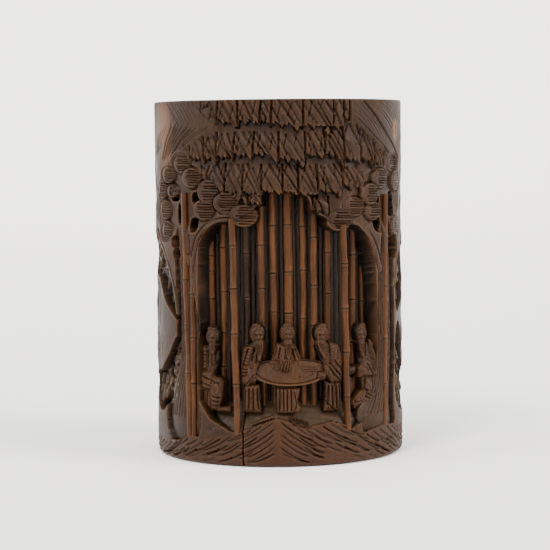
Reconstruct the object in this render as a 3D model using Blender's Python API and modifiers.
"""Carved bamboo brush pot.

The pot is one thick section of bamboo culm. Its wall is carved deep and partly
through: scholars sit round a table in a bamboo grove, under tiers of bamboo
leaves, between pine trunks and rocky cliffs, above a band of mountains. Each
carved element is its own solid, set in the wall with a hairline gap.

Places on the culm are polar: an angle in degrees from the front (-Y), positive
towards +X, a radius from the culm's axis, and a height above the resting face.
"""
import math

import bmesh
import bpy
from mathutils import Matrix, Vector

MM = 0.001

# Driving dimensions of the culm
HEIGHT = 150 * MM
OUTER_RADIUS = 53.2 * MM
CARVING_DEPTH = 10.4 * MM
BACK_WALL_THICKNESS = 4.3 * MM
BASE_THICKNESS = 9 * MM
BASE_RECESS = 0.8 * MM
GAP = 0.3 * MM

# Driving dimensions of the carving
GROUND_HEIGHT = 21.5 * MM
BAND_THICKNESS = 3.3 * MM
SHOULDER_HEIGHT = 27 * MM
LEAF_RELIEF = 1.6 * MM
FRONT_STALK_RADIUS = 1.2 * MM
GROVE_STALK_RADIUS = 1.35 * MM
STALK_NODE_SWELL = 0.25 * MM
STALK_NODE_SPACING = 17 * MM
TRUNK_SETBACK = 2.9 * MM
CLIFF_SETBACK = 0.9 * MM
FIGURE_CLEARANCE = 0.6 * MM
TABLE_THICKNESS = 1.6 * MM
TABLE_CLEARANCE = 1.3 * MM
ROUNDEL_RADIUS = 4.4 * MM
ROUNDEL_INSET_STEP = 0.05 * MM

# Radii that follow from them
BACK_WALL_RADIUS = OUTER_RADIUS - CARVING_DEPTH - GAP
BORE_RADIUS = BACK_WALL_RADIUS - BACK_WALL_THICKNESS
CARVING_RADIUS = BACK_WALL_RADIUS + GAP
LEAF_BED_RADIUS = OUTER_RADIUS - LEAF_RELIEF
BAND_INNER_RADIUS = OUTER_RADIUS - BAND_THICKNESS
FRONT_STALK_PLACE = OUTER_RADIUS - FRONT_STALK_RADIUS - STALK_NODE_SWELL
GROVE_STALK_PLACE = CARVING_RADIUS + GROVE_STALK_RADIUS + STALK_NODE_SWELL
GROVE_FRONT_RADIUS = GROVE_STALK_PLACE + GROVE_STALK_RADIUS + STALK_NODE_SWELL
FIGURE_RADIUS = (GROVE_FRONT_RADIUS + OUTER_RADIUS) / 2

# Sectors of the wall, in degrees from the front
TRUNK_SECTORS = {
    "pine_trunk_front_left": (-56.5, -42.0),
    "pine_trunk_front_right": (50.0, 64.5),
    "pine_trunk_back_right": (122.5, 137.0),
    "pine_trunk_back_left": (-137.0, -122.5),
}
CLIFF_SECTORS = {
    "cliff_left": (-121.0, -58.0),
    "cliff_right": (66.0, 121.0),
}
TRUNK_FLARE_ANGLE = 3.0
TRUNK_FLARE_HEIGHT = 17 * MM

# Lower edge of the leaf canopy: angle and depth below the shoulder
CANOPY_EDGE = (
    (-180, 13 * MM), (-168, 16 * MM), (-155, 20 * MM), (-142, 29 * MM),
    (-58, 29 * MM), (-41, 31 * MM), (-38, 26 * MM), (-31, 23 * MM),
    (-16, 24 * MM), (-9, 17 * MM), (-6, 10 * MM), (11, 10 * MM),
    (15, 19 * MM), (28, 26 * MM), (34, 27 * MM), (41, 23 * MM),
    (46, 29 * MM), (50, 31 * MM), (66, 29 * MM), (142, 29 * MM),
    (155, 20 * MM), (168, 16 * MM), (180, 13 * MM),
)
# Ridge line of the mountain band: angle and drop below the ground
MOUNTAIN_RIDGE = (
    (-180, 3.5 * MM), (-160, 9.5 * MM), (-140, 5.5 * MM), (-118, 10.5 * MM),
    (-95, 6.5 * MM), (-75, 10.5 * MM), (-51, 12.5 * MM), (-43, 10 * MM),
    (-28, 9 * MM), (-12, 4.5 * MM), (0, 1.5 * MM), (16, 4.5 * MM),
    (28, 3.5 * MM), (42, 9 * MM), (57, 7 * MM), (80, 9 * MM),
    (100, 5.5 * MM), (120, 10.5 * MM), (142, 5.5 * MM), (162, 9.5 * MM),
    (180, 3.5 * MM),
)
# Hollows through the cliffs: angle, half width in degrees, and the lower and
# upper ends as shares of the cliff's height
CAVES = {
    "cliff_left": (
        (-70.0, 7.0, 0.53, 0.95),
        (-71.0, 6.5, 0.05, 0.35),
        (-106.0, 7.0, 0.41, 0.88),
    ),
    "cliff_right": (
        (76.0, 7.0, 0.50, 0.87),
        (76.0, 6.5, 0.06, 0.36),
        (108.0, 7.0, 0.38, 0.85),
    ),
}
ROCK_SHARE_OF_CAVE = 0.55

# Stalks, in degrees from the front
FRONT_STALK_ANGLES = {"front_stalk_left": -21.0, "front_stalk_right": 31.0}
TRUNK_STALK_ANGLES = {
    "slender_stalk_left": -49.0,
    "slender_stalk_inner_left": -43.0,
    "slender_stalk_right": 57.5,
}
GROVE_STALK_ANGLES = (
    -37.5, -31.5, -25.0, -17.3, -9.4, -3.0, 4.9, 12.6, 18.6, 26.0, 36.5, 44.5,
)
BACK_STALK_ANGLES = (146, 156, 165, 174, 183, 192, 201, 211)

# Scholars: angle, height of the head above the ground, half width of the robe in degrees
SCHOLARS = {
    "scholar_far_left": (-36.5, 31.5 * MM, 4.6),
    "scholar_near_left": (-11.5, 32.5 * MM, 4.6),
    "scholar_centre": (2.5, 33.5 * MM, 4.8),
    "scholar_near_right": (22.0, 32.5 * MM, 4.6),
    "scholar_far_right": (43.7, 31.5 * MM, 4.6),
}
SCHOLAR_DEPTH = (OUTER_RADIUS - GROVE_FRONT_RADIUS) / 2 - FIGURE_CLEARANCE
HEAD_HALF_HEIGHT = 3.3 * MM

# Table, its two heights above the ground; it shares the room in front of the
# grove with the scholar behind it
TABLE_ANGLE = 5.2
TABLE_HALF_ANGLE = 11.4
TABLE_FRONT_HEIGHT = 11.5 * MM
TABLE_BACK_HEIGHT = 22.5 * MM
TABLE_SHARE_OF_ROOM = 0.566
TABLE_ROOM = OUTER_RADIUS - GROVE_FRONT_RADIUS - 2 * GAP - TABLE_CLEARANCE
TABLE_DEPTH = TABLE_SHARE_OF_ROOM * TABLE_ROOM
CENTRE_SCHOLAR_DEPTH = (TABLE_ROOM - TABLE_DEPTH) / 2
PEDESTAL_HALF_ANGLE = 4.6

# Raised leaves: first and last angle, drop below the shoulder, length, blades
LEAF_TIERS = {
    "leaf_tier_upper": (-22.0, 24.0, 1 * MM, 9 * MM, 7),
    "leaf_tier_lower": (-5.5, 10.5, 10.5 * MM, 9 * MM, 3),
}
# Pine foliage beside the upper tier: distance along the wall from the tier's
# edge, and drop below the shoulder
PINE_FOLIAGE = {
    "pine_foliage_left": (
        (22.3 * MM, 5 * MM), (17.2 * MM, 11 * MM), (24.6 * MM, 11 * MM),
        (11.1 * MM, 14 * MM), (16.7 * MM, 18 * MM), (5.1 * MM, 14.5 * MM),
        (29.7 * MM, 17 * MM), (23.7 * MM, 19.5 * MM),
    ),
    "pine_foliage_right": (
        (26.9 * MM, 5 * MM), (19.5 * MM, 10 * MM), (26.9 * MM, 11.5 * MM),
        (13.5 * MM, 15 * MM), (20.9 * MM, 18 * MM), (7.0 * MM, 17.5 * MM),
        (34.4 * MM, 15 * MM), (27.9 * MM, 19 * MM),
    ),
}

ANGLE_STEP = 6
ROUND_STEPS = 72

BAMBOO_BROWN = (0.17, 0.085, 0.05, 1)
DARK_BROWN = (0.06, 0.032, 0.022, 1)
STALK_BROWN = (0.24, 0.12, 0.06, 1)
FIGURE_BROWN = (0.2, 0.1, 0.06, 1)
BAND_BROWN = (0.16, 0.075, 0.045, 1)
ROCK_BROWN = (0.14, 0.11, 0.08, 1)


def clear_scene():
    for item in list(bpy.data.objects):
        bpy.data.objects.remove(item, do_unlink=True)


def make_collection(name):
    collection = bpy.data.collections.new(name)
    bpy.context.scene.collection.children.link(collection)
    return collection


def finish(item, color, roughness=0.45):
    """Give a piece its own Principled material."""
    material = bpy.data.materials.new(item.name + "_material")
    material.use_nodes = True
    shader = material.node_tree.nodes["Principled BSDF"]
    shader.inputs["Base Color"].default_value = color
    shader.inputs["Roughness"].default_value = roughness
    shader.inputs["Metallic"].default_value = 0.0
    item.data.materials.append(material)
    return item


def place(angle, radius, height):
    """A point of the culm from its angle, radius and height."""
    turn = math.radians(angle)
    return Vector((radius * math.sin(turn), -radius * math.cos(turn), height))


def read_outline(outline, angle):
    """The value of an outline at an angle, straight between its points."""
    for (left, low), (right, high) in zip(outline, outline[1:]):
        if left <= angle <= right:
            return low + (high - low) * (angle - left) / (right - left)
    return outline[-1][1]


def canopy_bottom(angle):
    return HEIGHT - SHOULDER_HEIGHT - read_outline(CANOPY_EDGE, angle)


def lowest_canopy(angle, half_angle):
    """Height of the canopy's lowest edge over a stretch of the wall."""
    edges = [place_angle for place_angle, _ in CANOPY_EDGE if abs(place_angle - angle) < half_angle]
    edges += [angle - half_angle, angle + half_angle]
    return min(canopy_bottom(edge) for edge in edges)


def ridge_top(angle):
    return GROUND_HEIGHT - read_outline(MOUNTAIN_RIDGE, angle)


def add_object(name, mesh):
    item = bpy.data.objects.new(name, mesh)
    PIECES.objects.link(item)
    return item


def loft(name, rings, closed=False):
    """A solid through rings of points, capped at its ends or closed on itself."""
    shape = bmesh.new()
    loops = [[shape.verts.new(point) for point in ring] for ring in rings]
    pairs = list(zip(loops, loops[1:]))
    if closed:
        pairs.append((loops[-1], loops[0]))
    for here, there in pairs:
        for index, corner in enumerate(here):
            after = (index + 1) % len(here)
            shape.faces.new((corner, here[after], there[after], there[index]))
    if not closed:
        shape.faces.new(loops[0][::-1])
        shape.faces.new(loops[-1])
    if shape.calc_volume(signed=True) < 0:
        bmesh.ops.reverse_faces(shape, faces=shape.faces)
    mesh = bpy.data.meshes.new(name)
    shape.to_mesh(mesh)
    shape.free()
    return add_object(name, mesh)


def sector_angles(first, last, *outlines):
    """Angles across a sector, with every corner of the outlines in it."""
    steps = max(1, round((last - first) / ANGLE_STEP))
    angles = {first + (last - first) * step / steps for step in range(steps + 1)}
    for outline in outlines:
        angles |= {angle for angle, _ in outline if first < angle < last}
    return sorted(angles)


def ring_angles(outline):
    """Angles once round the culm, without the repeated last one."""
    return sector_angles(-180, 180, outline)[:-1]


def bore_wall():
    """Plain inner wall of the culm, from the resting face to the rim."""
    corners = (
        (BORE_RADIUS, 0), (BACK_WALL_RADIUS, 0),
        (BACK_WALL_RADIUS, HEIGHT), (BORE_RADIUS, HEIGHT),
    )
    rings = []
    for step in range(ROUND_STEPS):
        angle = 360 * step / ROUND_STEPS
        rings.append([place(angle, radius, height) for radius, height in corners])
    return finish(loft("bore_wall", rings, closed=True), DARK_BROWN, 0.6)


def base_disc():
    """Disc that closes the bottom of the bore."""
    mesh = bpy.data.meshes.new("base_disc")
    shape = bmesh.new()
    radius = BORE_RADIUS - GAP
    bmesh.ops.create_cone(
        shape, cap_ends=True, segments=ROUND_STEPS,
        radius1=radius, radius2=radius, depth=BASE_THICKNESS - BASE_RECESS,
    )
    shape.to_mesh(mesh)
    shape.free()
    disc = add_object("base_disc", mesh)
    disc.location.z = (BASE_THICKNESS + BASE_RECESS) / 2
    return finish(disc, DARK_BROWN, 0.6)


def canopy_crown():
    """Leafy upper wall: a proud shoulder over a set-back bed for the foliage."""
    rings = []
    shoulder = HEIGHT - SHOULDER_HEIGHT
    for angle in ring_angles(CANOPY_EDGE):
        bottom = canopy_bottom(angle)
        corners = (
            (CARVING_RADIUS, bottom), (LEAF_BED_RADIUS, bottom), (LEAF_BED_RADIUS, shoulder),
            (OUTER_RADIUS, shoulder), (OUTER_RADIUS, HEIGHT), (CARVING_RADIUS, HEIGHT),
        )
        rings.append([place(angle, radius, height) for radius, height in corners])
    return finish(loft("canopy_crown", rings, closed=True), BAMBOO_BROWN)


def ground_ledge():
    """Ring of ground that the grove, the trunks and the cliffs stand on."""
    outer = BAND_INNER_RADIUS - GAP
    corners = (
        (CARVING_RADIUS, 0), (outer, 0), (outer, GROUND_HEIGHT), (CARVING_RADIUS, GROUND_HEIGHT),
    )
    rings = []
    for step in range(ROUND_STEPS):
        angle = 360 * step / ROUND_STEPS
        rings.append([place(angle, radius, height) for radius, height in corners])
    return finish(loft("ground_ledge", rings, closed=True), BAND_BROWN)


def mountain_band():
    """Outer band at the foot, its top edge a line of peaks."""
    rings = []
    for angle in ring_angles(MOUNTAIN_RIDGE):
        top = ridge_top(angle)
        corners = (
            (BAND_INNER_RADIUS, 0), (OUTER_RADIUS, 0), (OUTER_RADIUS, top), (BAND_INNER_RADIUS, top),
        )
        rings.append([place(angle, radius, height) for radius, height in corners])
    return finish(loft("mountain_band", rings, closed=True), BAND_BROWN)


def wall_sector(name, first, last, outer, top_at):
    """A stretch of carved wall from the ground to a top that varies with angle."""
    rings = []
    for angle in sector_angles(first, last, CANOPY_EDGE):
        corners = (
            (CARVING_RADIUS, GROUND_HEIGHT + GAP), (outer, GROUND_HEIGHT + GAP),
            (outer, top_at(angle)), (CARVING_RADIUS, top_at(angle)),
        )
        rings.append([place(angle, radius, height) for radius, height in corners])
    return loft(name, rings)


def pine_trunk(name, first, last):
    """Pine trunk with low root flares on its two sides."""
    foot = GROUND_HEIGHT + GAP
    flare_top = foot + TRUNK_FLARE_HEIGHT
    left = first + TRUNK_FLARE_ANGLE
    right = last - TRUNK_FLARE_ANGLE
    sides = [
        (first, foot + 0.35 * TRUNK_FLARE_HEIGHT), (left - 0.4, flare_top),
        (left, canopy_bottom(left) - GAP), (right, canopy_bottom(right) - GAP),
        (right + 0.4, flare_top), (last, foot + 0.35 * TRUNK_FLARE_HEIGHT),
    ]
    middle = (left + right) / 2
    sides.insert(3, (middle, canopy_bottom(middle) - GAP))
    outer = OUTER_RADIUS - TRUNK_SETBACK
    rings = []
    for angle, top in sides:
        corners = ((CARVING_RADIUS, foot), (outer, foot), (outer, top), (CARVING_RADIUS, top))
        rings.append([place(angle, radius, height) for radius, height in corners])
    return finish(loft(name, rings), BAMBOO_BROWN, 0.55)


def radial_tube(name, angle, height, half_width, half_height):
    """Cutter through the wall: an elliptical cylinder that lies along a radius."""
    mesh = bpy.data.meshes.new(name)
    shape = bmesh.new()
    bmesh.ops.create_cone(
        shape, cap_ends=True, segments=16, radius1=1, radius2=1, depth=2 * CARVING_DEPTH,
    )
    stretch = Matrix.Diagonal((half_width, half_height, 1, 1))
    stand_up = Matrix.Rotation(math.radians(90), 4, "X")
    turn = Matrix.Rotation(math.radians(angle), 4, "Z")
    middle = place(angle, CARVING_RADIUS + CARVING_DEPTH / 2, height)
    shape.transform(Matrix.Translation(middle) @ turn @ stand_up @ stretch)
    shape.to_mesh(mesh)
    shape.free()
    cutter = bpy.data.objects.new(name, mesh)
    CUTTERS.objects.link(cutter)
    cutter.hide_render = True
    cutter.display_type = "WIRE"
    return cutter


def cut(item, cutter):
    hollow = item.modifiers.new("cut_" + cutter.name, "BOOLEAN")
    hollow.operation = "DIFFERENCE"
    hollow.object = cutter


def arc_width(half_angle):
    """Half width in metres, on the outer surface, of a half angle in degrees."""
    return math.radians(half_angle) * OUTER_RADIUS


def cave_size(cave):
    """Angle, middle height, half width in degrees and half height of a hollow."""
    angle, half_angle, low, high = cave
    foot = GROUND_HEIGHT + GAP
    rise = lowest_canopy(angle, half_angle) - GAP - foot
    return angle, foot + rise * (low + high) / 2, half_angle, rise * (high - low) / 2


def cliff(name, first, last):
    """Side wall of rock with hollows carved through to the back wall."""
    outer = OUTER_RADIUS - CLIFF_SETBACK
    item = wall_sector(name, first, last, outer, lambda angle: canopy_bottom(angle) - GAP)
    for number, cave in enumerate(CAVES[name], 1):
        angle, height, half_angle, half_height = cave_size(cave)
        tube = radial_tube(f"{name}_cave_{number}", angle, height, arc_width(half_angle), half_height)
        cut(item, tube)
    return finish(item, BAMBOO_BROWN, 0.55)


def cave_rock(name, cave):
    """Stepped rock at the back of a hollow, clear of the hollow's edge."""
    angle, height, half_angle, half_height = cave_size(cave)
    reach = half_angle * ROCK_SHARE_OF_CAVE
    rise = half_height * ROCK_SHARE_OF_CAVE
    outer = CARVING_RADIUS + 0.55 * CARVING_DEPTH
    steps = ((-1, 0.2), (-0.35, 0.45), (-0.3, 1), (0.3, 0.85), (0.35, 0.3), (1, 0.1))
    rings = []
    for share, top in steps:
        corners = (
            (CARVING_RADIUS, height - rise), (outer, height - rise),
            (outer, height + rise * top), (CARVING_RADIUS, height + rise * top),
        )
        rings.append([place(angle + reach * share, radius, up) for radius, up in corners])
    return finish(loft(name, rings), ROCK_BROWN, 0.7)


def stalk(name, angle, place_radius, radius, bottom, top):
    """Upright bamboo stalk with swollen nodes, turned about its own axis."""
    profile = [(0, bottom), (radius, bottom)]
    count = max(1, round((top - bottom) / STALK_NODE_SPACING))
    for number in range(1, count):
        node = bottom + (top - bottom) * number / count
        profile.append((radius, node - 2.5 * STALK_NODE_SWELL))
        profile.append((radius + STALK_NODE_SWELL, node))
        profile.append((radius, node + 2.5 * STALK_NODE_SWELL))
    profile += [(radius, top), (0, top)]
    mesh = bpy.data.meshes.new(name)
    shape = bmesh.new()
    corners = [shape.verts.new((across, 0, up)) for across, up in reversed(profile)]
    for upper, lower in zip(corners, corners[1:]):
        shape.edges.new((upper, lower))
    shape.to_mesh(mesh)
    shape.free()
    item = add_object(name, mesh)
    turn = item.modifiers.new("turn", "SCREW")
    turn.steps = 8
    turn.render_steps = 8
    turn.use_merge_vertices = True
    turn.merge_threshold = 0.00001
    item.location = place(angle, place_radius, 0)
    return finish(item, STALK_BROWN, 0.4)


def grove():
    """Stalks along the back of the two open grottoes."""
    half_angle = math.degrees(GROVE_STALK_RADIUS / GROVE_STALK_PLACE)
    foot = GROUND_HEIGHT + GAP
    for number, angle in enumerate(GROVE_STALK_ANGLES, 1):
        top = lowest_canopy(angle, half_angle) - GAP
        stalk(f"grove_stalk_{number:02d}", angle, GROVE_STALK_PLACE, GROVE_STALK_RADIUS, foot, top)
    for number, angle in enumerate(BACK_STALK_ANGLES, 1):
        wrapped = angle - 360 if angle > 180 else angle
        top = lowest_canopy(wrapped, half_angle) - GAP
        stalk(f"back_stalk_{number:02d}", angle, GROVE_STALK_PLACE, GROVE_STALK_RADIUS, foot, top)


def outer_stalks():
    """Stalks near the outer surface, standing on the mountain band."""
    half_angle = math.degrees(FRONT_STALK_RADIUS / FRONT_STALK_PLACE)
    for name, angle in {**FRONT_STALK_ANGLES, **TRUNK_STALK_ANGLES}.items():
        foot = max(ridge_top(angle - half_angle), ridge_top(angle + half_angle)) + GAP
        top = lowest_canopy(angle, half_angle) - GAP
        stalk(name, angle, FRONT_STALK_PLACE, FRONT_STALK_RADIUS, foot, top)


def oval_ring(angle, half_angle, radius, half_depth, height, count=12):
    """Oval outline lying across the wall at one height."""
    ring = []
    for step in range(count):
        turn = 2 * math.pi * step / count
        across = angle + half_angle * math.cos(turn)
        ring.append(place(across, radius + half_depth * math.sin(turn), height))
    return ring


def scholar(name, angle, head_height, half_angle, radius, half_depth):
    """Robed, capped scholar: one loft from the hem to the top of the cap."""
    foot = GROUND_HEIGHT + GAP
    neck = head_height - HEAD_HALF_HEIGHT
    shoulder = neck - 2.2 * MM
    body = (
        (foot, 0.95, 1.0), (foot + 0.45 * (shoulder - foot), 0.78, 1.0),
        (foot + 0.7 * (shoulder - foot), 0.85, 1.0), (shoulder, 0.9, 0.95),
        (neck - 0.4 * MM, 0.45, 0.7), (neck, 0.38, 0.6),
        (head_height - 0.5 * HEAD_HALF_HEIGHT, 0.52, 0.85), (head_height, 0.55, 0.9),
        (head_height + 0.4 * HEAD_HALF_HEIGHT, 0.55, 0.85),
        (head_height + HEAD_HALF_HEIGHT, 0.3, 0.5),
    )
    rings = []
    for height, width_share, depth_share in body:
        rings.append(oval_ring(angle, half_angle * width_share, radius, half_depth * depth_share, height))
    return finish(loft(name, rings), FIGURE_BROWN)


def scholars():
    """Four scholars round the table, and one behind it against the grove."""
    for name, (angle, head_height, half_angle) in SCHOLARS.items():
        radius = FIGURE_RADIUS
        half_depth = SCHOLAR_DEPTH
        if name == "scholar_centre":
            radius = GROVE_FRONT_RADIUS + GAP + CENTRE_SCHOLAR_DEPTH
            half_depth = CENTRE_SCHOLAR_DEPTH
        scholar(name, angle, GROUND_HEIGHT + head_height, half_angle, radius, half_depth)


def table_top():
    """Oval table top, tipped towards the front so that its face shows."""
    outer = OUTER_RADIUS - GAP
    middle = outer - TABLE_DEPTH / 2
    level = GROUND_HEIGHT + (TABLE_FRONT_HEIGHT + TABLE_BACK_HEIGHT) / 2
    tip = (TABLE_BACK_HEIGHT - TABLE_FRONT_HEIGHT) / 2
    rings = []
    for lift in (-TABLE_THICKNESS / 2, TABLE_THICKNESS / 2):
        ring = []
        for step in range(24):
            turn = 2 * math.pi * step / 24
            angle = TABLE_ANGLE + TABLE_HALF_ANGLE * math.cos(turn)
            radius = middle + (TABLE_DEPTH / 2) * math.sin(turn)
            ring.append(place(angle, radius, level - tip * math.sin(turn) + lift))
        rings.append(ring)
    return finish(loft("table_top", rings), FIGURE_BROWN)


def table_pedestal():
    """Foot of the table, between the mountain band and the table top."""
    bottom = GROUND_HEIGHT + GAP
    top = GROUND_HEIGHT + TABLE_FRONT_HEIGHT - TABLE_THICKNESS / 2 - GAP
    radius = OUTER_RADIUS - GAP - TABLE_DEPTH / 2
    rings = []
    for height, share in ((bottom, 1), ((bottom + top) / 2, 0.7), (top, 0.85)):
        rings.append(oval_ring(TABLE_ANGLE, PEDESTAL_HALF_ANGLE * share, radius, TABLE_DEPTH / 2, height))
    return finish(loft("table_pedestal", rings), FIGURE_BROWN)


def leaf_tier(name, first, last, drop, length, blades):
    """Raised tier of leaf blades: a plate with a row of pointed tips."""
    top = HEIGHT - SHOULDER_HEIGHT - drop
    inner = LEAF_BED_RADIUS + GAP
    width = (last - first) / blades
    rings = []
    for step in range(2 * blades + 1):
        angle = first + width * step / 2
        tip = length if step % 2 else 0.35 * length
        corners = ((inner, top - tip), (OUTER_RADIUS, top - tip), (OUTER_RADIUS, top), (inner, top))
        rings.append([place(angle, radius, height) for radius, height in corners])
    return finish(loft(name, rings), BAMBOO_BROWN)


def roundel(name, angle, drop, inset):
    """One disc of pine foliage, facing out from the wall, thinner on both faces by an inset."""
    depth = LEAF_RELIEF - GAP - 2 * inset
    mesh = bpy.data.meshes.new(name)
    shape = bmesh.new()
    bmesh.ops.create_cone(
        shape, cap_ends=True, segments=14,
        radius1=ROUNDEL_RADIUS, radius2=ROUNDEL_RADIUS, depth=depth,
    )
    height = HEIGHT - SHOULDER_HEIGHT - drop
    middle = place(angle, (LEAF_BED_RADIUS + GAP + OUTER_RADIUS) / 2, height)
    turn = Matrix.Rotation(math.radians(angle), 4, "Z")
    lie_flat = Matrix.Rotation(math.radians(90), 4, "X")
    shape.transform(Matrix.Translation(middle) @ turn @ lie_flat)
    shape.to_mesh(mesh)
    shape.free()
    return add_object(name, mesh)


def foliage_angle(name, distance):
    """Angle of a disc at a distance along the wall from the upper leaf tier."""
    tier_left, tier_right = LEAF_TIERS["leaf_tier_upper"][:2]
    turn = math.degrees(distance / OUTER_RADIUS)
    return tier_left - turn if name.endswith("left") else tier_right + turn


def pine_foliage(name, places):
    """A cluster of overlapping discs, joined into one solid."""
    discs = [(foliage_angle(name, distance), drop) for distance, drop in places]
    cluster = roundel(name, *discs[0], 0)
    for number, (angle, drop) in enumerate(discs[1:], 1):
        disc = roundel(f"{name}_disc_{number}", angle, drop, ROUNDEL_INSET_STEP * number)
        PIECES.objects.unlink(disc)
        CUTTERS.objects.link(disc)
        disc.hide_render = True
        disc.display_type = "WIRE"
        join = cluster.modifiers.new(f"join_{number}", "BOOLEAN")
        join.operation = "UNION"
        join.object = disc
    return finish(cluster, BAMBOO_BROWN)


def build():
    bore_wall()
    base_disc()
    canopy_crown()
    ground_ledge()
    mountain_band()
    for name, (first, last) in TRUNK_SECTORS.items():
        pine_trunk(name, first, last)
    for name, (first, last) in CLIFF_SECTORS.items():
        cliff(name, first, last)
        for number, cave in enumerate(CAVES[name], 1):
            cave_rock(f"{name}_rock_{number}", cave)
    grove()
    outer_stalks()
    scholars()
    table_top()
    table_pedestal()
    for name, tier in LEAF_TIERS.items():
        leaf_tier(name, *tier)
    for name, places in PINE_FOLIAGE.items():
        pine_foliage(name, places)


clear_scene()
PIECES = make_collection("brush_pot")
CUTTERS = make_collection("cutters")
build()
